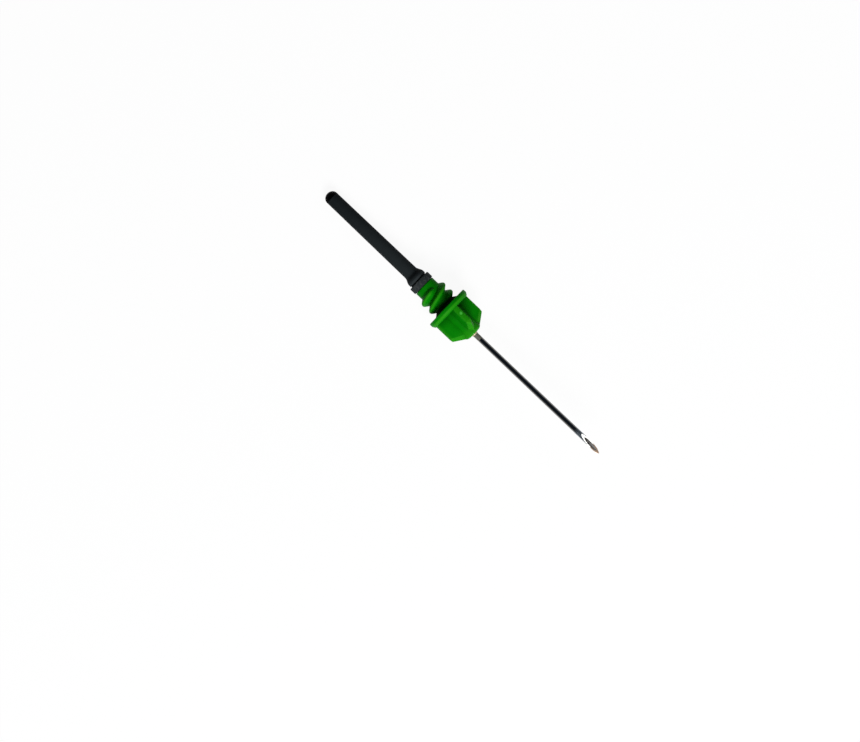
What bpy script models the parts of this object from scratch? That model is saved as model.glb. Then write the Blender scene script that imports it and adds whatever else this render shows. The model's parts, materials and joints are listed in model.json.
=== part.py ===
"""Double-ended blood collection needle, 21 gauge by one inch, lying at rest on a table.

Every piece is drawn along +X in the needle's own frame, which starts at the centre of the
flange's rear face, where the hub seats in a tube holder. The patient's end points to +X and
the rubber sleeve to -X. One empty then lays the needle down on its flange and its sleeve.
"""

import math

import bmesh
import bpy
from mathutils import Matrix, Vector

for leftover in list(bpy.data.objects):
    bpy.data.objects.remove(leftover)

# Clearances
FIT = 0.00002
SLEEVE_END_GAP = 0.00065

# Hub: shank, flange and nose, as lengths from the flange's rear face
SHANK_LENGTH = 0.00457
SHANK_RADIUS = 0.00169
NECK_LENGTH = 0.00042
NECK_RADIUS = 0.00218
NECK_BLEND = 0.00005
SEAT_CLEARANCE = 0.00004
FLANGE_RADIUS = 0.00359
FLANGE_THICKNESS = 0.00101
FLANGE_BEVEL_LENGTH = 0.00044
FLANGE_BEVEL_DEPTH = 0.00026
NOSE_LENGTH = 0.005725
NOSE_CORE_RADIUS = 0.00147
NOSE_ROUND_LENGTH = 0.00036
NOSE_ROUND_DEPTH = 0.00083
GLUE_WELL_RADIUS = 0.0006
GLUE_WELL_DEPTH = 0.0013
GLUE_WELL_FLOOR_RADIUS = 0.0005

# Hub: fins of the nose
FIN_COUNT = 4
FIN_RADIUS = 0.00323
FIN_ROOT_RADIUS = 0.0013
FIN_TIP_WIDTH = 0.00082
FIN_DRAFT = math.radians(6.3)
FIN_FRONT = 0.004285
FIN_FRONT_ANGLE = math.radians(56.15)
FIN_POINT_ANGLE = math.radians(38.7)

# Hub: thread
THREAD_STARTS = 2
THREAD_LEAD = 0.003
THREAD_CREST_RADIUS = 0.00236
THREAD_CREST_WIDTH = 0.00042
THREAD_ROOT_WIDTH = 0.00124
THREAD_TURNS = 1.03
THREAD_SETBACK = 0.00358
THREAD_START_ANGLE = math.radians(12.0)
THREAD_RUN_IN = math.radians(40.0)

# Hub: spigot under the sleeve
SPIGOT_LENGTH = 0.0021
SPIGOT_RADIUS = 0.00112
BARB_HEIGHT = 0.00009
BARB_LENGTH = 0.0006

# Cannula
CANNULA_RADIUS = 0.00041
CANNULA_BORE_RADIUS = 0.00028
FRONT_REACH = 0.02552
REAR_REACH = 0.01624
BEVEL_ANGLE = math.radians(12.0)
LANCET_ANGLE = math.radians(22.0)
LANCET_TURN = math.radians(30.0)
REAR_BEVEL_ANGLE = math.radians(16.0)
BEVEL_TURN = math.radians(-5.625)
GRINDING_BLOCK_HEIGHT = 8 * CANNULA_RADIUS

# Rubber sleeve
SLEEVE_TIP_RADIUS = 0.001045
SLEEVE_ROOT_RADIUS = 0.00112
SLEEVE_BORE_RADIUS = 0.00058
SLEEVE_TIP_WALL = 0.00069
DOME_LENGTH = 0.00094
COLLAR_WIDTH = 0.00106
COLLAR_RADIUS = 0.00183
COLLAR_EDGE = 0.0001
GROOVE_WIDTH = 0.00014
GROOVE_RADIUS = 0.0014
SHOULDER_WIDTH = 0.00038
SHOULDER_RADIUS = 0.00152
FLARE_LENGTH = 0.00117

# Adhesive
MENISCUS_HEIGHT = 0.0002
MENISCUS_LIP = 0.00005
GLUE_SINK = 0.00003

# Facets of the turned pieces. Pieces that fit in each other have facets in line.
HUB_SIDES = 64
SLEEVE_SIDES = 32
TUBE_SIDES = 32
THREAD_STEP = math.radians(11.25)
CROWN_STEPS = 4
SHARP_ANGLE = math.radians(35.0)
SAME_POINT = 1e-8

# The needle lies on one facet of its flange, which turns it by a whole number and a half of facets.
ROLL = -2.5 * 2 * math.pi / HUB_SIDES
NEEDLE_AXIS = Vector((1, 0, 0))


def material(name, colour, roughness, metallic=0.0):
    made = bpy.data.materials.new(name)
    made.use_nodes = True
    shader = made.node_tree.nodes["Principled BSDF"]
    shader.inputs["Base Color"].default_value = (*colour, 1)
    shader.inputs["Roughness"].default_value = roughness
    shader.inputs["Metallic"].default_value = metallic
    return made


def keep(name, mesh_maker, look=None):
    """Makes an object of a bmesh. One with no look is a helper, which isn't rendered."""
    mesh = bpy.data.meshes.new(name)
    bmesh.ops.recalc_face_normals(mesh_maker, faces=mesh_maker.faces)
    mesh_maker.to_mesh(mesh)
    mesh_maker.free()
    mesh.shade_smooth()
    mesh.set_sharp_from_angle(angle=SHARP_ANGLE)
    made = bpy.data.objects.new(name, mesh)
    bpy.context.scene.collection.objects.link(made)
    if look:
        mesh.materials.append(look)
    else:
        made.hide_render = True
        made.display_type = "WIRE"
    return made


def turned(outline, sides):
    """Turns an outline of (x, radius) points round the needle's axis."""
    shape = bmesh.new()
    points = [shape.verts.new((x, 0, radius)) for x, radius in outline]
    on_axis = min(outline[0][1], outline[-1][1]) < SAME_POINT
    following = points[1:] if on_axis else points[1:] + points[:1]
    lines = [shape.edges.new(pair) for pair in zip(points, following)]
    bmesh.ops.spin(
        shape, geom=points + lines, cent=(0, 0, 0), axis=NEEDLE_AXIS,
        angle=2 * math.pi, steps=sides, use_merge=True,
    )
    bmesh.ops.remove_doubles(shape, verts=shape.verts, dist=SAME_POINT)
    return shape


def arc(start, end, steps):
    """Quarter of an ellipse between two (x, radius) points, which leaves the first one along X."""
    points = []
    for step in range(steps + 1):
        turn = math.pi / 2 * step / steps
        along = start[0] + (end[0] - start[0]) * math.sin(turn)
        across = start[1] + (end[1] - start[1]) * (1 - math.cos(turn))
        points.append((along, across))
    return points


def eased(start, end, steps):
    """Points of a smooth S between two (x, radius) points."""
    points = []
    for step in range(steps + 1):
        share = step / steps
        rise = share * share * (3 - 2 * share)
        along = start[0] + (end[0] - start[0]) * share
        across = start[1] + (end[1] - start[1]) * rise
        points.append((along, across))
    return points


def spigot_outline(extra=0.0):
    """The spigot's outside from the shank to its rear end, or that of a sleeve seated on it with some extra room."""
    rear = -SHANK_LENGTH - SPIGOT_LENGTH
    barb = rear + BARB_LENGTH + extra
    return [
        (-SHANK_LENGTH, SPIGOT_RADIUS + extra),
        (barb, SPIGOT_RADIUS + extra),
        (barb, SPIGOT_RADIUS + BARB_HEIGHT + extra),
        (rear + BARB_LENGTH / 2, SPIGOT_RADIUS + BARB_HEIGHT + extra),
        (rear - extra, SPIGOT_RADIUS - BARB_HEIGHT + extra),
    ]


def hub_outline():
    bore = CANNULA_RADIUS + FIT
    rear = -SHANK_LENGTH - SPIGOT_LENGTH
    bevel_start = FLANGE_THICKNESS - FLANGE_BEVEL_LENGTH
    nose_round = NOSE_LENGTH - NOSE_ROUND_LENGTH
    outline = [(rear, bore)]
    outline += reversed(spigot_outline())
    outline += [(-SHANK_LENGTH, SHANK_RADIUS), (-NECK_LENGTH, SHANK_RADIUS), (-NECK_BLEND, NECK_RADIUS)]
    # The seat starts outside the thread's crests, because the bore of a tube holder clears them.
    outline += [(0, THREAD_CREST_RADIUS + SEAT_CLEARANCE), (0, FLANGE_RADIUS), (bevel_start, FLANGE_RADIUS)]
    outline += [(FLANGE_THICKNESS, FLANGE_RADIUS - FLANGE_BEVEL_DEPTH), (FLANGE_THICKNESS, NOSE_CORE_RADIUS)]
    outline += arc((nose_round, NOSE_CORE_RADIUS), (NOSE_LENGTH, NOSE_CORE_RADIUS - NOSE_ROUND_DEPTH), 5)
    outline += [(NOSE_LENGTH, GLUE_WELL_RADIUS)]
    outline += [(NOSE_LENGTH - GLUE_WELL_DEPTH, GLUE_WELL_FLOOR_RADIUS), (NOSE_LENGTH - GLUE_WELL_DEPTH, bore)]
    return outline


def fin():
    """One fin, standing along +Z: a drafted section drawn out along X, then cut to its pointed front end."""
    half_tip = FIN_TIP_WIDTH / 2
    half_root = half_tip + (FIN_RADIUS - FIN_ROOT_RADIUS) * math.tan(FIN_DRAFT)
    crown = math.asin(half_tip / FIN_RADIUS)
    section = [(-half_root, FIN_ROOT_RADIUS)]
    for step in range(CROWN_STEPS + 1):
        turn = crown * (2 * step / CROWN_STEPS - 1)
        section.append((FIN_RADIUS * math.sin(turn), FIN_RADIUS * math.cos(turn)))
    section.append((half_root, FIN_ROOT_RADIUS))
    shape = bmesh.new()
    face = shape.faces.new([shape.verts.new((FLANGE_THICKNESS / 2, y, z)) for y, z in section])
    drawn = bmesh.ops.extrude_face_region(shape, geom=[face])["geom"]
    front = [part for part in drawn if isinstance(part, bmesh.types.BMVert)]
    bmesh.ops.translate(shape, verts=front, vec=(NOSE_LENGTH, 0, 0))
    slope = math.tan(FIN_FRONT_ANGLE)
    point = 1 / math.tan(FIN_POINT_ANGLE)
    for side in (-1, 1):
        facet = Vector((1, side * point, 1 / slope))
        cut = bmesh.ops.bisect_plane(
            shape, geom=shape.verts[:] + shape.edges[:] + shape.faces[:], dist=SAME_POINT,
            plane_co=(FIN_FRONT, 0, FIN_RADIUS), plane_no=facet, clear_outer=True,
        )
        rim = [part for part in cut["geom_cut"] if isinstance(part, bmesh.types.BMEdge)]
        bmesh.ops.contextual_create(shape, geom=rim)
    return shape


def thread_ridge(start_angle):
    """One start of the thread: its section swept along the helix, sunk into the shank at both ends."""
    base = SHANK_RADIUS - (THREAD_CREST_RADIUS - SHANK_RADIUS) / 2
    flank = (THREAD_ROOT_WIDTH - THREAD_CREST_WIDTH) / 2 / (THREAD_CREST_RADIUS - SHANK_RADIUS)
    foot = THREAD_ROOT_WIDTH / 2 + flank * (SHANK_RADIUS - base)
    crest = THREAD_CREST_WIDTH / 2
    shoulder = THREAD_CREST_RADIUS - crest / 3
    section = [(-foot, base), (-crest, shoulder), (-crest / 2, THREAD_CREST_RADIUS)]
    section += [(-x, radius) for x, radius in reversed(section)]
    shape = bmesh.new()
    face = shape.faces.new([shape.verts.new((x, 0, radius)) for x, radius in section])
    sweep = 2 * math.pi * THREAD_TURNS
    steps = round(sweep / THREAD_STEP)
    rings = [list(face.verts)]
    for step in range(steps):
        drawn = bmesh.ops.extrude_face_region(shape, geom=[face])["geom"]
        inner = face
        face = next(part for part in drawn if isinstance(part, bmesh.types.BMFace))
        rings.append(list(face.verts))
        if step > 0:
            shape.faces.remove(inner)
    sunk = SHANK_RADIUS - THREAD_CREST_RADIUS - FIT
    for step, ring in enumerate(rings):
        turn = sweep * step / steps
        height = min(1, turn / THREAD_RUN_IN, (sweep - turn) / THREAD_RUN_IN)
        drop = sunk * (1 - math.sin(height * math.pi / 2))
        place = Matrix.Translation((THREAD_LEAD * turn / (2 * math.pi) - THREAD_SETBACK, 0, 0))
        place = place @ Matrix.Rotation(start_angle + turn, 4, "X")
        bmesh.ops.translate(shape, verts=ring, vec=(0, 0, drop))
        bmesh.ops.transform(shape, verts=ring, matrix=place)
    return shape


def join(target, helper, operation):
    step = target.modifiers.new(helper.name, "BOOLEAN")
    step.operation = operation
    step.solver = "EXACT"
    step.object = helper


def build_hub():
    green = material("green_plastic", (0.012, 0.24, 0.006), 0.38)
    hub = keep("hub", turned(hub_outline(), HUB_SIDES), green)
    for number in range(FIN_COUNT):
        shape = fin()
        turn = Matrix.Rotation(2 * math.pi * number / FIN_COUNT, 4, "X")
        bmesh.ops.transform(shape, matrix=turn, verts=shape.verts)
        join(hub, keep(f"fin_guide_{number + 1}", shape), "UNION")
    for number in range(THREAD_STARTS):
        # A turn about +X carries +Z towards -Y, and the first start begins a little way to +Y.
        begin = 2 * math.pi * number / THREAD_STARTS - THREAD_START_ANGLE
        join(hub, keep(f"thread_guide_{number + 1}", thread_ridge(begin)), "UNION")
    return hub


def grinding_block(name, tip, direction, angle, turn):
    """A cutter whose flat ground face passes through the tip, turned about the tube and leaning by the angle."""
    size = GRINDING_BLOCK_HEIGHT / math.sin(angle)
    shape = bmesh.new()
    bmesh.ops.create_cube(shape, size=size)
    bmesh.ops.translate(shape, verts=shape.verts, vec=(0, 0, size / 2))
    lean = Matrix.Rotation(direction * angle, 4, "Y")
    around = Matrix.Rotation(turn, 4, "X")
    edge = Matrix.Rotation(BEVEL_TURN, 4, "X") @ Matrix.Translation((tip, 0, -CANNULA_RADIUS))
    bmesh.ops.transform(shape, matrix=edge @ around @ lean, verts=shape.verts)
    return keep(name, shape)


def build_cannula():
    steel = material("steel", (0.62, 0.62, 0.61), 0.22, 1.0)
    rear = -SHANK_LENGTH - SPIGOT_LENGTH - REAR_REACH
    front = NOSE_LENGTH + FRONT_REACH
    outline = [(rear, CANNULA_RADIUS), (front, CANNULA_RADIUS)]
    outline += [(front, CANNULA_BORE_RADIUS), (rear, CANNULA_BORE_RADIUS)]
    tube = turned(outline, TUBE_SIDES)
    bmesh.ops.transform(tube, matrix=Matrix.Rotation(BEVEL_TURN, 4, "X"), verts=tube.verts)
    cannula = keep("cannula", tube, steel)
    for name, tip, direction, bevel in (
        ("front", front, 1, BEVEL_ANGLE),
        ("rear", rear, -1, REAR_BEVEL_ANGLE),
    ):
        join(cannula, grinding_block(f"{name}_bevel", tip, direction, bevel, 0), "DIFFERENCE")
        for side, turn in (("left", LANCET_TURN), ("right", -LANCET_TURN)):
            block = grinding_block(f"{name}_lancet_{side}", tip, direction, LANCET_ANGLE, turn)
            join(cannula, block, "DIFFERENCE")
    return cannula


def sleeve_stations():
    """Places along the sleeve, from its mouth to its closed end."""
    mouth = -SHANK_LENGTH - FIT
    collar = mouth - COLLAR_WIDTH
    groove = collar - GROOVE_WIDTH
    shoulder = groove - SHOULDER_WIDTH
    flare = shoulder - FLARE_LENGTH
    cavity = -SHANK_LENGTH - SPIGOT_LENGTH - REAR_REACH - SLEEVE_END_GAP
    return mouth, collar, groove, shoulder, flare, cavity


def build_sleeve():
    rubber = material("black_rubber", (0.012, 0.014, 0.017), 0.55)
    mouth, collar, groove, shoulder, flare, cavity = sleeve_stations()
    tip = cavity - SLEEVE_TIP_WALL
    outside = [(mouth, COLLAR_RADIUS - COLLAR_EDGE), (mouth - COLLAR_EDGE, COLLAR_RADIUS)]
    outside += [(collar + COLLAR_EDGE, COLLAR_RADIUS), (collar, COLLAR_RADIUS - COLLAR_EDGE)]
    outside += [(collar, GROOVE_RADIUS), (groove, GROOVE_RADIUS), (groove, SHOULDER_RADIUS)]
    outside += eased((shoulder, SHOULDER_RADIUS), (flare, SLEEVE_ROOT_RADIUS), 6)
    outside += arc((tip + DOME_LENGTH, SLEEVE_TIP_RADIUS), (tip, 0), 7)
    spigot_end = spigot_outline(FIT)[-1]
    inside = [(mouth, SPIGOT_RADIUS + FIT)]
    inside += spigot_outline(FIT)[1:]
    inside += eased((spigot_end[0] - FIT, spigot_end[1]), (flare, SLEEVE_BORE_RADIUS), 4)
    inside += arc((cavity + SLEEVE_BORE_RADIUS, SLEEVE_BORE_RADIUS), (cavity, 0), 4)
    return keep("rubber_sleeve", turned(list(reversed(outside)) + inside, SLEEVE_SIDES), rubber)


def build_adhesive():
    glue = material("cured_adhesive", (0.62, 0.5, 0.3), 0.3)
    hole = CANNULA_RADIUS + FIT
    floor = NOSE_LENGTH - GLUE_WELL_DEPTH + FIT
    rim = NOSE_LENGTH - GLUE_SINK
    top = NOSE_LENGTH + MENISCUS_HEIGHT
    taper = (GLUE_WELL_RADIUS - GLUE_WELL_FLOOR_RADIUS) / GLUE_WELL_DEPTH
    outline = [(top, hole)]
    outline += arc((top, hole + MENISCUS_LIP), (rim, GLUE_WELL_RADIUS - GLUE_SINK * taper - FIT), 5)
    outline += [(floor, GLUE_WELL_FLOOR_RADIUS - FIT), (floor, hole)]
    return keep("adhesive", turned(outline, HUB_SIDES), glue)


def lay_down(pieces):
    """Tips the needle back until its flange's rear edge and its sleeve's end both touch the table."""
    cavity = sleeve_stations()[-1]
    dome_centre = SLEEVE_TIP_WALL - DOME_LENGTH - cavity
    rim = FLANGE_RADIUS * math.cos(math.pi / HUB_SIDES)
    reach = math.hypot(rim, dome_centre)
    tilt = math.acos(SLEEVE_TIP_RADIUS / reach) - math.atan2(dome_centre, rim)
    front = (NOSE_LENGTH + FRONT_REACH) * math.cos(tilt)
    rear = (SLEEVE_TIP_WALL - cavity) * math.cos(tilt)
    frame = bpy.data.objects.new("needle_frame", None)
    bpy.context.scene.collection.objects.link(frame)
    frame.rotation_mode = "XYZ"
    frame.rotation_euler = (ROLL, -tilt, 0)
    frame.location = ((rear - front) / 2, 0, rim * math.cos(tilt))
    for piece in pieces:
        piece.parent = frame


build_hub()
build_cannula()
build_sleeve()
build_adhesive()
lay_down([thing for thing in bpy.data.objects if thing.type == "MESH"])
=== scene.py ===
"""Looks of the blood collection needle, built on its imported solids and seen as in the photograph."""

import json
import math

import bmesh
import bpy
from mathutils import Euler, Matrix, Vector


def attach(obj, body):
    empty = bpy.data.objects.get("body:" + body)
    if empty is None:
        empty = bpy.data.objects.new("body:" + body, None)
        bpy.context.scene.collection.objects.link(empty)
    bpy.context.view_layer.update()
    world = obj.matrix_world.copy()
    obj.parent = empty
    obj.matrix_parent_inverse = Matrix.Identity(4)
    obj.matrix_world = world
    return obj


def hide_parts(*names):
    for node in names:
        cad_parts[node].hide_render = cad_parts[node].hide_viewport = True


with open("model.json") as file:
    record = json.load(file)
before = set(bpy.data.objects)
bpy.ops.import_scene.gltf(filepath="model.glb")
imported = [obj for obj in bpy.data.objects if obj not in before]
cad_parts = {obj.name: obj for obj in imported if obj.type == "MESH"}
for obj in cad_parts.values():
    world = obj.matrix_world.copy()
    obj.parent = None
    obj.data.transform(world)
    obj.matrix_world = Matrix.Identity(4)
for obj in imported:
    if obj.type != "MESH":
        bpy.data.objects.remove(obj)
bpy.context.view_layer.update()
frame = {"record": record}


# How the needle lies. Every piece is shaped along +X, with the centre of the flange's rear face
# at zero, and is then laid down as the solids are, nose up on the flange's edge and the sleeve's
# end. The record's holder seat is a point of that rear face, so it gives the tilt and the place.

SEAT_RADIUS = 0.0029
RIM_ROLL = math.radians(-14.0625)

seat = next(mount for mount in frame["record"]["mounts"] if mount["name"] == "holder_seat")
nose_up = math.asin(-seat["axis"][2])
lying_turn = Euler((RIM_ROLL, -nose_up, 0))
seat_arm = Matrix.Rotation(-nose_up, 3, "Y") @ Vector((0, 0, SEAT_RADIUS))
lying_place = Vector(seat["pos_m"]) - seat_arm
lying = Matrix.Translation(lying_place) @ lying_turn.to_matrix().to_4x4()


# The hub is one injection moulding in green plastic, and the piece that everything else is fixed
# to. It is turned about the needle's axis, apart from its four drafted fins and its thread, which
# are moulded with it. The tool leaves soft edges, a fine orange peel and a small gate mark. Its
# colour carries painted shade in corners, grooves and the neck, and painted highlights and a glint.

SPIGOT_REAR = -0.00667
SPIGOT_RADIUS = 0.00112
BARB_FRONT = -0.00607
BARB_RADIUS = 0.00121
BARB_FLAT = 0.0003
SPIGOT_END_RADIUS = 0.00103
TUBE_HOLE_RADIUS = 0.00043
SHANK_REAR = -0.00457
SHANK_RADIUS = 0.00169
NECK_START = -0.00042
NECK_RADIUS = 0.00218
NECK_BLEND = 0.00005
SEAT_INSIDE_RADIUS = 0.0024
FLANGE_RADIUS = 0.00359
FLANGE_BEVEL_START = 0.00057
FLANGE_FRONT = 0.00101
FLANGE_FACE_RADIUS = 0.00333
CORE_RADIUS = 0.00147
NOSE_ROUND_START = 0.005365
NOSE_FACE = 0.005725
NOSE_FACE_RADIUS = 0.00064
GLUE_WELL_RADIUS = 0.0006
GLUE_WELL_FLOOR = 0.004425
GLUE_WELL_FLOOR_RADIUS = 0.0005
RIM_SOFTNESS = 0.00015
FRONT_SOFTNESS = 0.00008
HUB_SIDES = 128
NEAR = 0.000002


def turned(outline, sides):
    """Spins (x, radius) points round the needle's axis. A closed outline makes a ring."""
    shape = bmesh.new()
    points = [shape.verts.new((x, 0, radius)) for x, radius in outline]
    on_axis = min(outline[0][1], outline[-1][1]) < 1e-8
    following = points[1:] if on_axis else points[1:] + points[:1]
    lines = [shape.edges.new(pair) for pair in zip(points, following)]
    bmesh.ops.spin(
        shape, geom=points + lines, cent=(0, 0, 0), axis=(1, 0, 0),
        angle=2 * math.pi, steps=sides, use_merge=True,
    )
    bmesh.ops.remove_doubles(shape, verts=shape.verts, dist=1e-8)
    bmesh.ops.recalc_face_normals(shape, faces=shape.faces)
    return shape


def soften_rings(shape, places, width):
    """Rounds the circular edges that lie at these (x, radius) places."""
    for x, radius in places:
        ring = [
            edge for edge in shape.edges
            if all(abs(v.co.x - x) < NEAR and abs(v.co.yz.length - radius) < NEAR for v in edge.verts)
        ]
        bmesh.ops.bevel(
            shape, geom=ring, offset=width, segments=3, profile=0.5,
            affect="EDGES", material=-1, clamp_overlap=True,
        )


def quarter(start, end, steps):
    """Quarter of an ellipse between two (x, radius) points, which leaves the first one along X."""
    length = end[0] - start[0]
    rise = end[1] - start[1]
    turns = [math.pi / 2 * step / steps for step in range(steps + 1)]
    return [(start[0] + length * math.sin(turn), start[1] + rise * (1 - math.cos(turn))) for turn in turns]


def finished(name, shape, sharp_angle=30):
    """Makes a mesh object of a shape, with its edges kept sharp from this angle in degrees on."""
    mesh = bpy.data.meshes.new(name)
    bmesh.ops.recalc_face_normals(shape, faces=shape.faces)
    shape.to_mesh(mesh)
    shape.free()
    mesh.shade_smooth()
    mesh.set_sharp_from_angle(angle=math.radians(sharp_angle))
    piece = bpy.data.objects.new(name, mesh)
    bpy.context.scene.collection.objects.link(piece)
    return piece


def joined(piece, tools, operation):
    """Welds the tools to a piece, or cuts them from it, and returns the result as a bmesh."""
    for tool in tools:
        step = piece.modifiers.new(tool.name, "BOOLEAN")
        step.operation = operation
        step.solver = "MANIFOLD"
        step.object = tool
    seen = piece.evaluated_get(bpy.context.evaluated_depsgraph_get())
    shape = bmesh.new()
    shape.from_mesh(seen.to_mesh())
    seen.to_mesh_clear()
    for used in [piece, *tools]:
        bpy.data.objects.remove(used)
    return shape


hub_outline = [(SPIGOT_REAR, TUBE_HOLE_RADIUS), (SPIGOT_REAR, SPIGOT_END_RADIUS)]
hub_outline += [(BARB_FRONT - BARB_FLAT, BARB_RADIUS), (BARB_FRONT, BARB_RADIUS)]
hub_outline += [(BARB_FRONT, SPIGOT_RADIUS)]
hub_outline += [(SHANK_REAR, SPIGOT_RADIUS), (SHANK_REAR, SHANK_RADIUS), (NECK_START, SHANK_RADIUS)]
hub_outline += [(-NECK_BLEND, NECK_RADIUS), (0, SEAT_INSIDE_RADIUS)]
hub_outline += [(0, FLANGE_RADIUS), (FLANGE_BEVEL_START, FLANGE_RADIUS)]
hub_outline += [(FLANGE_FRONT, FLANGE_FACE_RADIUS), (FLANGE_FRONT, CORE_RADIUS)]
hub_outline += quarter((NOSE_ROUND_START, CORE_RADIUS), (NOSE_FACE, NOSE_FACE_RADIUS), 10)
hub_outline += [(NOSE_FACE, GLUE_WELL_RADIUS), (GLUE_WELL_FLOOR, GLUE_WELL_FLOOR_RADIUS)]
hub_outline += [(GLUE_WELL_FLOOR, TUBE_HOLE_RADIUS)]
hub_body = turned(hub_outline, HUB_SIDES)
soften_rings(hub_body, [(0, FLANGE_RADIUS), (SHANK_REAR, SHANK_RADIUS)], RIM_SOFTNESS)
front_rings = [(FLANGE_BEVEL_START, FLANGE_RADIUS), (FLANGE_FRONT, FLANGE_FACE_RADIUS)]
soften_rings(hub_body, front_rings, FRONT_SOFTNESS)

FIN_RADIUS = 0.00323
FIN_ROOT_RADIUS = 0.0013
FIN_HALF_TIP = 0.00041
FIN_HALF_ROOT = 0.000623
FIN_FRONT = 0.004285
FIN_FRONT_SLOPE = 1.491
FIN_POINT_SLOPE = 1.248
FIN_EDGE = 0.00006
FIN_REAR = 0.0005


def moulded_fin(quarter_turns):
    """One fin: a drafted section with a crowned tip, drawn out along X and cut to a roof-shaped point."""
    shape = bmesh.new()
    crown = [math.asin(FIN_HALF_TIP / FIN_RADIUS) * (step / 3 - 1) for step in range(7)]
    section = [(-FIN_HALF_ROOT, FIN_ROOT_RADIUS)]
    section += [(FIN_RADIUS * math.sin(turn), FIN_RADIUS * math.cos(turn)) for turn in crown]
    section += [(FIN_HALF_ROOT, FIN_ROOT_RADIUS)]
    face = shape.faces.new([shape.verts.new((FIN_REAR, y, z)) for y, z in section])
    drawn = bmesh.ops.extrude_face_region(shape, geom=[face])["geom"]
    front = [part for part in drawn if isinstance(part, bmesh.types.BMVert)]
    bmesh.ops.translate(shape, verts=front, vec=(NOSE_FACE, 0, 0))
    for side in (-1, 1):
        facet = (1, side * FIN_POINT_SLOPE, 1 / FIN_FRONT_SLOPE)
        cut = bmesh.ops.bisect_plane(
            shape, geom=shape.verts[:] + shape.edges[:] + shape.faces[:], dist=1e-8,
            plane_co=(FIN_FRONT, 0, FIN_RADIUS), plane_no=facet, clear_outer=True,
        )
        rim = [part for part in cut["geom_cut"] if isinstance(part, bmesh.types.BMEdge)]
        bmesh.ops.contextual_create(shape, geom=rim)
    bmesh.ops.recalc_face_normals(shape, faces=shape.faces)
    bare = [
        edge for edge in shape.edges
        if edge.calc_face_angle(0) > math.radians(20)
        and any(v.co.z > FIN_ROOT_RADIUS + NEAR for v in edge.verts)
        and any(v.co.x > FIN_REAR + NEAR for v in edge.verts)
    ]
    bmesh.ops.bevel(
        shape, geom=bare, offset=FIN_EDGE, segments=3, profile=0.5,
        affect="EDGES", material=-1, clamp_overlap=True,
    )
    turn = Matrix.Rotation(math.pi / 2 * quarter_turns, 3, "X")
    bmesh.ops.rotate(shape, verts=shape.verts, cent=(0, 0, 0), matrix=turn)
    return finished(f"fin_{quarter_turns}", shape)


THREAD_LEAD = 0.003
THREAD_SWEEP = math.radians(370.8)
THREAD_REAR = -0.00358
THREAD_START = math.radians(-12)
THREAD_RUN_IN = math.radians(40)
THREAD_LEAN = 0.00038
THREAD_LEAN_END = math.radians(110)
THREAD_SINK = 0.00069
THREAD_STEPS = 96
THREAD_CREST_RADIUS = 0.00236
THREAD_FLANK = [
    (-0.00074, 0.0015), (-0.00062, 0.00171), (-0.00054, 0.0018),
    (-0.00024, 0.00223), (-0.00013, 0.00233),
]


def moulded_thread(half_turns):
    """One start: a round-topped ridge along its helix, which sinks into the shank at both ends."""
    shape = bmesh.new()
    section = THREAD_FLANK + [(0, THREAD_CREST_RADIUS)]
    section += [(-x, radius) for x, radius in reversed(THREAD_FLANK)]
    first = [shape.verts.new((x, 0, radius)) for x, radius in section]
    ring = [shape.edges.new(pair) for pair in zip(first, first[1:] + first[:1])]
    rings = [first]
    for step in range(THREAD_STEPS):
        drawn = bmesh.ops.extrude_edge_only(shape, edges=ring)["geom"]
        corners = {part for part in drawn if isinstance(part, bmesh.types.BMVert)}
        edges = [part for part in drawn if isinstance(part, bmesh.types.BMEdge)]
        ring = [edge for edge in edges if corners.issuperset(edge.verts)]
        rings.append(list(corners))
    for step, corners in enumerate(rings):
        turn = THREAD_SWEEP * step / THREAD_STEPS
        height = min(1, turn / THREAD_RUN_IN, (THREAD_SWEEP - turn) / THREAD_RUN_IN)
        sink = THREAD_SINK * (1 - math.sin(height * math.pi / 2))
        lean = THREAD_LEAN * max(0, 1 - turn / THREAD_LEAN_END) ** 2
        forward = THREAD_REAR + lean + THREAD_LEAD * turn / (2 * math.pi)
        place = Matrix.Rotation(THREAD_START + math.pi * half_turns + turn, 4, "X")
        place = Matrix.Translation((forward, 0, 0)) @ place
        bmesh.ops.translate(shape, verts=corners, vec=(0, 0, -sink))
        bmesh.ops.transform(shape, verts=corners, matrix=place)
    bmesh.ops.holes_fill(shape, edges=shape.edges, sides=0)
    return finished(f"thread_{half_turns}", shape)


hub_tools = [moulded_fin(number) for number in range(4)]
hub_tools += [moulded_thread(number) for number in range(2)]
hub_shape = joined(finished("hub_body", hub_body), hub_tools, "UNION")
bmesh.ops.transform(hub_shape, verts=hub_shape.verts, matrix=lying)
hub = finished("green_hub", hub_shape, sharp_angle=28)


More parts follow.
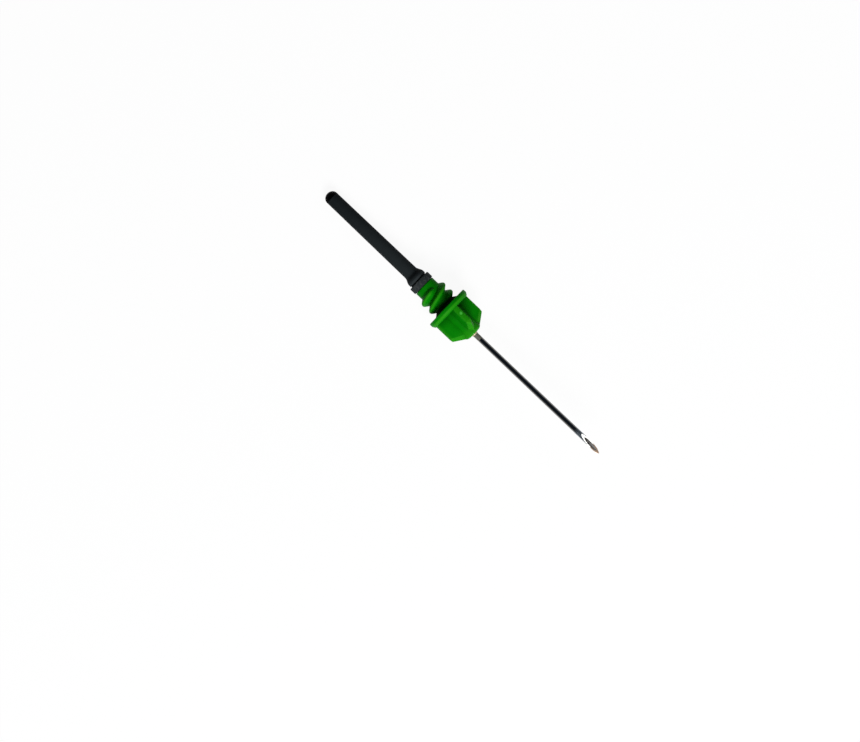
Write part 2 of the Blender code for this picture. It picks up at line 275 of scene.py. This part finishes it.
class Wire:
    """A socket of a material, which Python's arithmetic joins into Math nodes."""

    def __init__(self, tree, socket=None):
        self.tree = tree
        self.socket = socket

    def node(self, kind, settings=None, sockets=None, output=0):
        """Adds a node with its settings first, then the values or wires of its sockets."""
        made = self.tree.nodes.new(kind)
        for name, value in (settings or {}).items():
            setattr(made, name, value)
        for key, value in (sockets or {}).items():
            if isinstance(value, Wire):
                self.tree.links.new(value.socket, made.inputs[key])
            else:
                made.inputs[key].default_value = value
        return Wire(self.tree, made.outputs[output])

    def maths(self, operation, first, second):
        """A Math node on two wires or numbers."""
        return self.node("ShaderNodeMath", {"operation": operation}, {0: first, 1: second})

    def __add__(self, other):
        return self.maths("ADD", self, other)

    def __radd__(self, other):
        return self.maths("ADD", other, self)

    def __sub__(self, other):
        return self.maths("SUBTRACT", self, other)

    def __rsub__(self, other):
        return self.maths("SUBTRACT", other, self)

    def __mul__(self, other):
        return self.maths("MULTIPLY", self, other)

    def __rmul__(self, other):
        return self.maths("MULTIPLY", other, self)

    def rise(self, low, high):
        """0 below low and 1 above high, with a smooth change between them."""
        return self.node(
            "ShaderNodeMapRange", {"interpolation_type": "SMOOTHSTEP"},
            {"Value": self, "From Min": low, "From Max": high},
        )

    def tint(self, first, second):
        """Mixes two colours, with this wire as the share of the second."""
        colours = [colour if isinstance(colour, Wire) else (*colour, 1) for colour in (first, second)]
        sockets = {0: self, 6: colours[0], 7: colours[1]}
        return self.node("ShaderNodeMix", {"data_type": "RGBA"}, sockets, 2)

    def along(self):
        """From a place in the needle's own frame: how far it is in front of the flange's rear face."""
        return self.node("ShaderNodeSeparateXYZ", sockets={"Vector": self})

    def off_axis(self):
        """From a place in the needle's own frame: how far it is from the axis."""
        across = self.node("ShaderNodeVectorMath", {"operation": "MULTIPLY"}, {0: self, 1: (0, 1, 1)})
        return across.node("ShaderNodeVectorMath", {"operation": "LENGTH"}, {0: across}, 1)

    def noise(self, size, detail=2.0):
        """Soft noise with features of about this size in metres."""
        sockets = {"Vector": self, "Scale": 1 / size, "Detail": detail}
        return self.node("ShaderNodeTexNoise", {}, sockets)

    def bump(self, depth, share, over=None):
        """A normal bent by this height, with its depth in metres, over another normal if one is given."""
        sockets = {"Height": self, "Distance": depth, "Strength": share}
        if over:
            sockets["Normal"] = over
        return self.node("ShaderNodeBump", {}, sockets)


def new_material(name):
    """A material with its Principled shader, and a wire that carries places in the needle's own frame."""
    made = bpy.data.materials.new(name)
    made.use_nodes = True
    tree = made.node_tree
    place = Wire(tree).node("ShaderNodeTexCoord", output=3)
    place = place.node(
        "ShaderNodeMapping", {"vector_type": "TEXTURE"},
        {"Vector": place, "Location": lying_place, "Rotation": lying_turn},
    )
    return made, tree.nodes["Principled BSDF"], place


def wear(shader, **sockets):
    """Sets or links a shader's sockets, which are named with underscores for spaces."""
    for name, value in sockets.items():
        socket = shader.inputs[name.replace("_", " ")]
        if isinstance(value, Wire):
            value.tree.links.new(value.socket, socket)
        else:
            socket.default_value = value


PLAIN_GREEN = (0.001, 0.225, 0.0015)
WARM_GREEN = (0.003, 0.27, 0.002)
# Below: painted shade, painted highlights, a painted glint and the neck's painted shade.
PAINTED_SHADE_GREEN = (0.0005, 0.08, 0.001)
PAINTED_HIGHLIGHT_GREEN = (0.035, 0.37, 0.008)
PAINTED_GLINT_GREEN = (0.11, 0.72, 0.09)
NECK_PAINTED_SHADE = (0.001, 0.001, 0.001)
GATE_PLACE = (0.0022, 0, FIN_RADIUS)


def green_plastic():
    """Green plastic with painted shade in its corners, grooves and neck, painted highlights where it is
    thin, and a gate mark with a painted glint.
    """
    made, shader, place = new_material("green_plastic")
    along = place.along()
    radius = place.off_axis()
    flow = place.noise(0.0016, 3.0)
    grain = place.noise(0.0003, 3.0)
    front = along.rise(0.0009, 0.0012)
    # Painted shade darkens the corners that ambient occlusion finds, more in front of the flange, and the
    # thread's grooves.
    openness = place.node("ShaderNodeAmbientOcclusion", {"samples": 8}, {"Distance": 0.0016}, 1)
    corners = (1 - openness) * (0.35 + front)
    groove_shade = (1 - along.rise(-0.0002, -0.0001)) * (1 - radius.rise(0.0017, 0.0023))
    # Painted highlights lighten the nose, the flange's front rim, the thread's crests and the fins' tips
    # and points.
    nose = along.rise(0.0038, 0.0057)
    rim = radius.rise(0.0033, 0.0035) * along.rise(0.0004, 0.0006)
    crests = radius.rise(0.0021, THREAD_CREST_RADIUS) * (1 - along.rise(-0.0013, -0.0009))
    fin_tips = radius.rise(0.0028, 0.0032) * front
    fin_points = (along + radius * (1 / FIN_FRONT_SLOPE)).rise(0.00572, 0.00592)
    fin_points = fin_points * radius.rise(0.0016, 0.002)
    painted_highlight = nose * 0.5 + rim * 0.55 + crests * 0.5 + fin_tips * 0.35 + fin_points * 0.35
    # Painted shade makes the neck between thread and flange nearly black, and rougher.
    shaded_neck = along.rise(-0.0009, NECK_START) * (1 - along.rise(-0.00002, 0.00002))
    shaded_neck = shaded_neck * (1 - radius.rise(0.0022, 0.0025))
    # The gate mark is a small bump, and its lighter colour is a painted glint.
    gate_and_glint = place.node("ShaderNodeVectorMath", {"operation": "DISTANCE"}, {0: place, 1: GATE_PLACE}, 1)
    gate_and_glint = 1 - gate_and_glint.rise(0.00012, 0.0003)
    colour = flow.rise(0.3, 0.7).tint(PLAIN_GREEN, WARM_GREEN)
    colour = (groove_shade * 0.1 + corners).tint(colour, PAINTED_SHADE_GREEN)
    colour = painted_highlight.tint(colour, PAINTED_HIGHLIGHT_GREEN)
    colour = (gate_and_glint * 0.65).tint(colour, PAINTED_GLINT_GREEN)
    colour = (shaded_neck * 0.9).tint(colour, NECK_PAINTED_SHADE)
    rounded = place.node("ShaderNodeBevel", {"samples": 6}, {"Radius": 0.00004})
    skin = (grain * 0.4 + flow * 0.6 + gate_and_glint).bump(0.00001, 0.35, rounded)
    wear(shader, Base_Color=colour, Roughness=grain * 0.1 + 0.4 + shaded_neck * 0.3, Normal=skin)
    wear(shader, Specular_IOR_Level=0.035)
    return made


hub.data.materials.append(green_plastic())
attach(hub, "root")
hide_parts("hub")


# The cannula is one length of thin-walled stainless tube, drawn and polished. Both ends are
# ground: a long first bevel across the tube, then two short lancet facets that meet in the point.
# It is bonded in the hub's bore, and the tube is blasted matt for a millimetre in front of it.

CANNULA_RADIUS = 0.00041
CANNULA_BORE_RADIUS = 0.00028
CANNULA_FRONT = 0.031245
CANNULA_REAR = -0.02291
BEVEL_ANGLE = math.radians(12)
REAR_BEVEL_ANGLE = math.radians(16)
LANCET_ANGLE = math.radians(22)
LANCET_TURN = math.radians(30)
BEVEL_TURN = math.radians(-5.625)
RAW_END = 0.0003
TUBE_SIDES = 96


def grinding_wheel(name, tip, direction, angle, turn):
    """A block whose flat face grinds the tube through its tip, at this angle and turn."""
    size = 8 * CANNULA_RADIUS / math.sin(angle)
    shape = bmesh.new()
    bmesh.ops.create_cube(shape, size=size)
    bmesh.ops.translate(shape, verts=shape.verts, vec=(0, 0, size / 2))
    place = Matrix.Rotation(BEVEL_TURN, 4, "X") @ Matrix.Translation((tip, 0, -CANNULA_RADIUS))
    place = place @ Matrix.Rotation(turn, 4, "X") @ Matrix.Rotation(direction * angle, 4, "Y")
    bmesh.ops.transform(shape, verts=shape.verts, matrix=place)
    return finished(name, shape)


def ground_end(tip, direction, bevel):
    """The three grinding passes of one end."""
    return [
        grinding_wheel("bevel", tip, direction, bevel, 0),
        grinding_wheel("left_lancet", tip, direction, LANCET_ANGLE, LANCET_TURN),
        grinding_wheel("right_lancet", tip, direction, LANCET_ANGLE, -LANCET_TURN),
    ]


raw_ends = (CANNULA_REAR - RAW_END, CANNULA_FRONT + RAW_END)
tube_outline = [(end, CANNULA_RADIUS) for end in raw_ends]
tube_outline += [(end, CANNULA_BORE_RADIUS) for end in reversed(raw_ends)]
tube = finished("tube", turned(tube_outline, TUBE_SIDES))
wheels = ground_end(CANNULA_FRONT, 1, BEVEL_ANGLE)
wheels += ground_end(CANNULA_REAR, -1, REAR_BEVEL_ANGLE)
cannula_shape = joined(tube, wheels, "DIFFERENCE")
for face in cannula_shape.faces:
    is_ground = abs(face.normal.x) > 0.1
    face.material_index = int(is_ground)
bmesh.ops.transform(cannula_shape, verts=cannula_shape.verts, matrix=lying)
cannula = finished("steel_cannula", cannula_shape, sharp_angle=8)


MATT_BAND_END = 0.00693
COOL_STEEL = (0.22, 0.23, 0.235)
WARM_STEEL = (0.27, 0.26, 0.245)
# Below: a painted blue reflection, then the bore's painted shade and painted light.
PAINTED_BLUE_REFLECTION = (0.19, 0.222, 0.255)
PAINTED_BORE_SHADE = (0.08, 0.07, 0.063)
PAINTED_BORE_LIGHT = (0.3, 0.292, 0.285)
BLASTED_DARK = (0.12, 0.115, 0.095)
BLASTED_LIGHT = (0.26, 0.25, 0.21)
EDGE_TINT = (0.45, 0.45, 0.43, 1)


def drawn_steel():
    """Polished tube with faint draw lines, a hazy stretch with a painted blue reflection behind the point,
    painted shade deep in the bore and a matt band at the hub.
    """
    made, shader, place = new_material("drawn_steel")
    along = place.along()
    stretched = place.node("ShaderNodeMapping", sockets={"Vector": place, "Scale": (0.03, 1, 1)})
    lines = stretched.noise(0.00006)
    smears = place.noise(0.0016)
    specks = place.noise(0.00007, 3.0)
    matt = 1 - along.rise(MATT_BAND_END - 0.00006, MATT_BAND_END + 0.00002)
    # The stretch behind the point is rougher, and its blue tint is a painted reflection.
    haze_and_reflection = along.rise(0.0258, 0.0269)
    bore = 1 - place.off_axis().rise(0.0003, 0.00035)
    # Painted shade: the bore is dark behind the point and lighter towards its mouth.
    bore_shade = along.rise(0.0279, 0.0299).tint(PAINTED_BORE_SHADE, PAINTED_BORE_LIGHT)
    blasted = specks.tint(BLASTED_DARK, BLASTED_LIGHT)
    colour = smears.tint(COOL_STEEL, WARM_STEEL)
    colour = haze_and_reflection.tint(colour, PAINTED_BLUE_REFLECTION)
    colour = bore.tint(colour, bore_shade)
    colour = matt.tint(colour, blasted)
    skin = (lines * (1 - matt) * 0.15 + specks * matt).bump(0.000002, 0.3)
    rough = 0.06 + lines * 0.04 + haze_and_reflection * 0.27 + matt * 0.42 + bore * 0.35
    wear(shader, Base_Color=colour, Roughness=rough, Metallic=1 - matt * 0.6, Normal=skin)
    wear(shader, Specular_Tint=EDGE_TINT)
    return made


GROUND_STEEL = (0.78, 0.78, 0.75)
DARK_STRAW = (0.13, 0.088, 0.058)
LIGHT_STRAW = (0.24, 0.165, 0.115)


def ground_steel():
    """The freshly ground faces: fine lines across the tube, and a straw tint on the lancet facets."""
    made, shader, place = new_material("ground_steel")
    crossed = place.node("ShaderNodeMapping", sockets={"Vector": place, "Scale": (1, 0.05, 0.2)})
    lines = crossed.noise(0.00004)
    lancet = place.along().rise(0.0294, 0.0298)
    colour = lancet.tint(GROUND_STEEL, lines.tint(DARK_STRAW, LIGHT_STRAW))
    skin = lines.bump(0.000002, 0.3)
    wear(shader, Base_Color=colour, Roughness=0.2 + lines * 0.1, Metallic=1.0, Normal=skin)
    return made


cannula.data.materials.append(drawn_steel())
cannula.data.materials.append(ground_steel())
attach(cannula, "root")
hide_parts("cannula")


# The adhesive is a drop of clear resin that has cured to a tan colour. It fills the well in the
# hub's nose and climbs a little way up the tube as a hollow-sided ring.

GLUE_TOP = 0.005925
GLUE_RIM = 0.005695
GLUE_RIM_RADIUS = 0.000578
GLUE_TOP_RADIUS = 0.00048
GLUE_FLOOR = 0.004445
GLUE_FLOOR_RADIUS = 0.00048

glue_outline = [(GLUE_TOP, TUBE_HOLE_RADIUS)]
glue_outline += quarter((GLUE_TOP, GLUE_TOP_RADIUS), (GLUE_RIM, GLUE_RIM_RADIUS), 10)
glue_outline += [(GLUE_FLOOR, GLUE_FLOOR_RADIUS), (GLUE_FLOOR, TUBE_HOLE_RADIUS)]
glue_shape = turned(glue_outline, HUB_SIDES)
bmesh.ops.transform(glue_shape, verts=glue_shape.verts, matrix=lying)
glue = finished("adhesive_ring", glue_shape, sharp_angle=40)


DEEP_TAN = (0.5, 0.38, 0.2)
PALE_TAN = (0.78, 0.68, 0.46)


def cured_adhesive():
    """Tan resin with a wet gloss and small changes of depth."""
    made, shader, place = new_material("cured_adhesive")
    depth = place.noise(0.00025)
    skin = depth.bump(0.00003, 0.4)
    wear(shader, Base_Color=depth.tint(DEEP_TAN, PALE_TAN), Roughness=0.14 + depth * 0.1, Normal=skin)
    wear(shader, Coat_Weight=0.5)
    return made


glue.data.materials.append(cured_adhesive())
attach(glue, "root")
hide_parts("adhesive")


# The sleeve is one black rubber moulding, closed at its rear end. Its thick collar and flared
# mouth are pushed on to the hub's spigot and grip it. The rubber is satin, with a dry bloom and
# a scuffed collar.

SLEEVE_MOUTH = -0.00459
COLLAR_REAR = -0.00565
COLLAR_RADIUS = 0.00183
GROOVE_REAR = -0.00579
GROOVE_RADIUS = 0.0014
SHOULDER_REAR = -0.00617
SHOULDER_RADIUS = 0.00152
FLARE_REAR = -0.00734
SLEEVE_ROOT_RADIUS = 0.00112
SLEEVE_TIP_RADIUS = 0.001045
SLEEVE_TIP = -0.02425
DOME_LENGTH = 0.00094
SLEEVE_CAVITY_END = -0.02356
SLEEVE_BORE_RADIUS = 0.00058
SLEEVE_GRIP = 0.00002
COLLAR_SOFTNESS = 0.00013
SHOULDER_SOFTNESS = 0.00005
SLEEVE_SIDES = 96


def flare(start, end, steps):
    """Points of a smooth S between two (x, radius) points."""
    length = end[0] - start[0]
    rise = end[1] - start[1]
    shares = [step / steps for step in range(steps + 1)]
    swells = [share * share * (3 - 2 * share) for share in shares]
    return [(start[0] + length * share, start[1] + rise * swell) for share, swell in zip(shares, swells)]


sleeve_outline = [(SLEEVE_MOUTH, COLLAR_RADIUS), (COLLAR_REAR, COLLAR_RADIUS), (COLLAR_REAR, GROOVE_RADIUS)]
sleeve_outline += [(GROOVE_REAR, GROOVE_RADIUS), (GROOVE_REAR, SHOULDER_RADIUS)]
sleeve_outline += flare((SHOULDER_REAR, SHOULDER_RADIUS), (FLARE_REAR, SLEEVE_ROOT_RADIUS), 14)
sleeve_outline += quarter((SLEEVE_TIP + DOME_LENGTH, SLEEVE_TIP_RADIUS), (SLEEVE_TIP, 0), 16)
sleeve_outline.reverse()
mouth_outline = [(SLEEVE_MOUTH, SPIGOT_RADIUS), (BARB_FRONT + SLEEVE_GRIP, SPIGOT_RADIUS)]
mouth_outline += [(BARB_FRONT + SLEEVE_GRIP, BARB_RADIUS), (BARB_FRONT - BARB_FLAT, BARB_RADIUS)]
sleeve_outline += [(x, radius + SLEEVE_GRIP) for x, radius in mouth_outline]
narrowing = (SPIGOT_REAR - 2 * SLEEVE_GRIP, SPIGOT_END_RADIUS + SLEEVE_GRIP)
sleeve_outline += flare(narrowing, (FLARE_REAR, SLEEVE_BORE_RADIUS), 8)
cavity_dome = (SLEEVE_CAVITY_END + SLEEVE_BORE_RADIUS, SLEEVE_BORE_RADIUS)
sleeve_outline += quarter(cavity_dome, (SLEEVE_CAVITY_END, 0), 8)
sleeve_shape = turned(sleeve_outline, SLEEVE_SIDES)
soften_rings(sleeve_shape, [(SLEEVE_MOUTH, COLLAR_RADIUS), (COLLAR_REAR, COLLAR_RADIUS)], COLLAR_SOFTNESS)
soften_rings(sleeve_shape, [(GROOVE_REAR, SHOULDER_RADIUS)], SHOULDER_SOFTNESS)
bmesh.ops.transform(sleeve_shape, verts=sleeve_shape.verts, matrix=lying)
sleeve = finished("rubber_sleeve_skin", sleeve_shape, sharp_angle=35)


DARK_RUBBER = (0.009, 0.0122, 0.0142)
BLOOMED_RUBBER = (0.032, 0.039, 0.041)
# A painted highlight for the shoulder ring.
PAINTED_SHOULDER_HIGHLIGHT = (0.055, 0.066, 0.07)
SCUFF_GREY = (0.11, 0.11, 0.11)
# Painted shade for the corners, the flare's foot and the closed end.
SHADED_RUBBER = (0.001, 0.001, 0.0012)


def black_rubber():
    """Satin black rubber with a faint blue-grey bloom, drier and scuffed round the collar, with a painted
    highlight on its shoulder and painted shade in its corners, at the flare's foot and on its closed end.
    """
    made, shader, place = new_material("black_rubber")
    along = place.along()
    bloom = place.noise(0.0014, 4.0)
    grain = place.noise(0.00012, 3.0)
    collar = along.rise(-0.0057, -0.0056)
    # Painted highlight: the shoulder ring is lightened.
    shoulder_highlight = along.rise(-0.0063, -0.0060) * (1 - collar)
    # Painted shade darkens the flare's foot, the corners that ambient occlusion finds and the closed end.
    flare_foot_shade = along.rise(-0.00715, -0.0068) * (1 - along.rise(-0.0067, -0.0063))
    openness = place.node("ShaderNodeAmbientOcclusion", {"samples": 8}, {"Distance": 0.0008}, 1)
    closed_end_shade = 1 - along.rise(-0.02335, -0.0232)
    scuffs = place.noise(0.00035, 4.0).rise(0.5, 0.68) * collar
    handled = along.rise(-0.0215, -0.0085) * 0.3 + collar * 0.5
    colour = (bloom * 0.35 + handled).tint(DARK_RUBBER, BLOOMED_RUBBER)
    colour = (shoulder_highlight * 0.6).tint(colour, PAINTED_SHOULDER_HIGHLIGHT)
    colour = ((1 - openness) * 0.9 + flare_foot_shade * 0.6).tint(colour, SHADED_RUBBER)
    colour = (scuffs * 0.4).tint(colour, SCUFF_GREY)
    colour = closed_end_shade.tint(colour, SHADED_RUBBER)
    skin = (grain * 0.6 + bloom * 0.4).bump(0.00001, 0.4)
    wear(shader, Base_Color=colour, Roughness=0.5 + bloom * 0.1, Normal=skin)
    wear(shader, Specular_IOR_Level=0.03)
    return made


sleeve.data.materials.append(black_rubber())
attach(sleeve, "root")
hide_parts("rubber_sleeve")


# The stage is a plain white table under soft studio light, with the camera square above the
# needle's axis, as in the photograph.

FRAME_WIDTH = 0.12685
CAMERA_DISTANCE = 0.9
CAMERA_TURN = math.radians(43.6)
PICTURE_CENTRE = (0.00477, -0.00852, 0)

TABLE_HALF_WIDTH = 2.0
TABLE_GREY = (0.5, 0.5, 0.5, 1)
GLOW_WHITE = (1, 1, 1, 1)
GLOW_SHARE = 0.85
GLOW_STRENGTH = 1.1

table_shape = bmesh.new()
bmesh.ops.create_grid(table_shape, x_segments=1, y_segments=1, size=TABLE_HALF_WIDTH)
table = finished("table", table_shape)
paint = bpy.data.materials.new("white_table")
paint.use_nodes = True
paint_tree = paint.node_tree
paint_shader = paint_tree.nodes["Principled BSDF"]
wear(paint_shader, Base_Color=TABLE_GREY, Roughness=0.9)
matt_paint = Wire(paint_tree, paint_shader.outputs[0])
rays = Wire(paint_tree).node("ShaderNodeLightPath").socket.node.outputs
seen = Wire(paint_tree, rays["Is Camera Ray"]) + Wire(paint_tree, rays["Is Glossy Ray"])
seen = (seen + Wire(paint_tree, rays["Is Transmission Ray"])) * GLOW_SHARE
glow = seen.node("ShaderNodeEmission", sockets={"Color": GLOW_WHITE, "Strength": GLOW_STRENGTH})
lit = seen.node("ShaderNodeMixShader", sockets={0: seen, 1: matt_paint, 2: glow})
paint_tree.links.new(lit.socket, paint_tree.nodes["Material Output"].inputs["Surface"])
table.data.materials.append(paint)

LOW_SKY = (0.13, 0.13, 0.125)
HIGH_SKY = (0.015, 0.022, 0.035)

sky = bpy.data.worlds.new("studio")
sky.use_nodes = True
direction = Wire(sky.node_tree).node("ShaderNodeTexCoord")
height = direction.node("ShaderNodeSeparateXYZ", sockets={"Vector": direction}, output=2)
dusk = height.rise(0.4, 0.75).tint(LOW_SKY, HIGH_SKY)
sky.node_tree.links.new(dusk.socket, sky.node_tree.nodes["Background"].inputs["Color"])
bpy.context.scene.world = sky

level = Matrix.Translation(lying_place) @ Matrix.Rotation(-nose_up, 4, "Y")


def softbox(name, direction, distance, size, power):
    """A square area lamp that faces the needle from a direction given in the needle's level frame."""
    lamp = bpy.data.objects.new(name, bpy.data.lights.new(name, "AREA"))
    lamp.data.size = size
    lamp.data.energy = power
    towards = Vector(direction).normalized()
    turn = towards.to_track_quat("Z", "Y").to_matrix().to_4x4()
    lamp.matrix_world = level @ Matrix.Translation(towards * distance) @ turn
    bpy.context.scene.collection.objects.link(lamp)


softbox("key", (0.6, -0.34, 0.72), distance=0.45, size=0.21, power=1.85)
softbox("fill", (0.38, 0.61, 0.69), distance=0.5, size=0.13, power=0.18)

SENSOR_WIDTH = 36

camera = bpy.data.objects.new("camera", bpy.data.cameras.new("camera"))
camera.data.sensor_width = SENSOR_WIDTH
camera.data.lens = SENSOR_WIDTH * CAMERA_DISTANCE / FRAME_WIDTH
camera.data.clip_start = 0.01
camera.matrix_world = (
    level @ Matrix.Translation(PICTURE_CENTRE) @ Matrix.Rotation(CAMERA_TURN, 4, "Z")
    @ Matrix.Translation((0, 0, CAMERA_DISTANCE))
)
bpy.context.scene.collection.objects.link(camera)
bpy.context.scene.camera = camera
bpy.context.scene.view_settings.view_transform = "Standard"
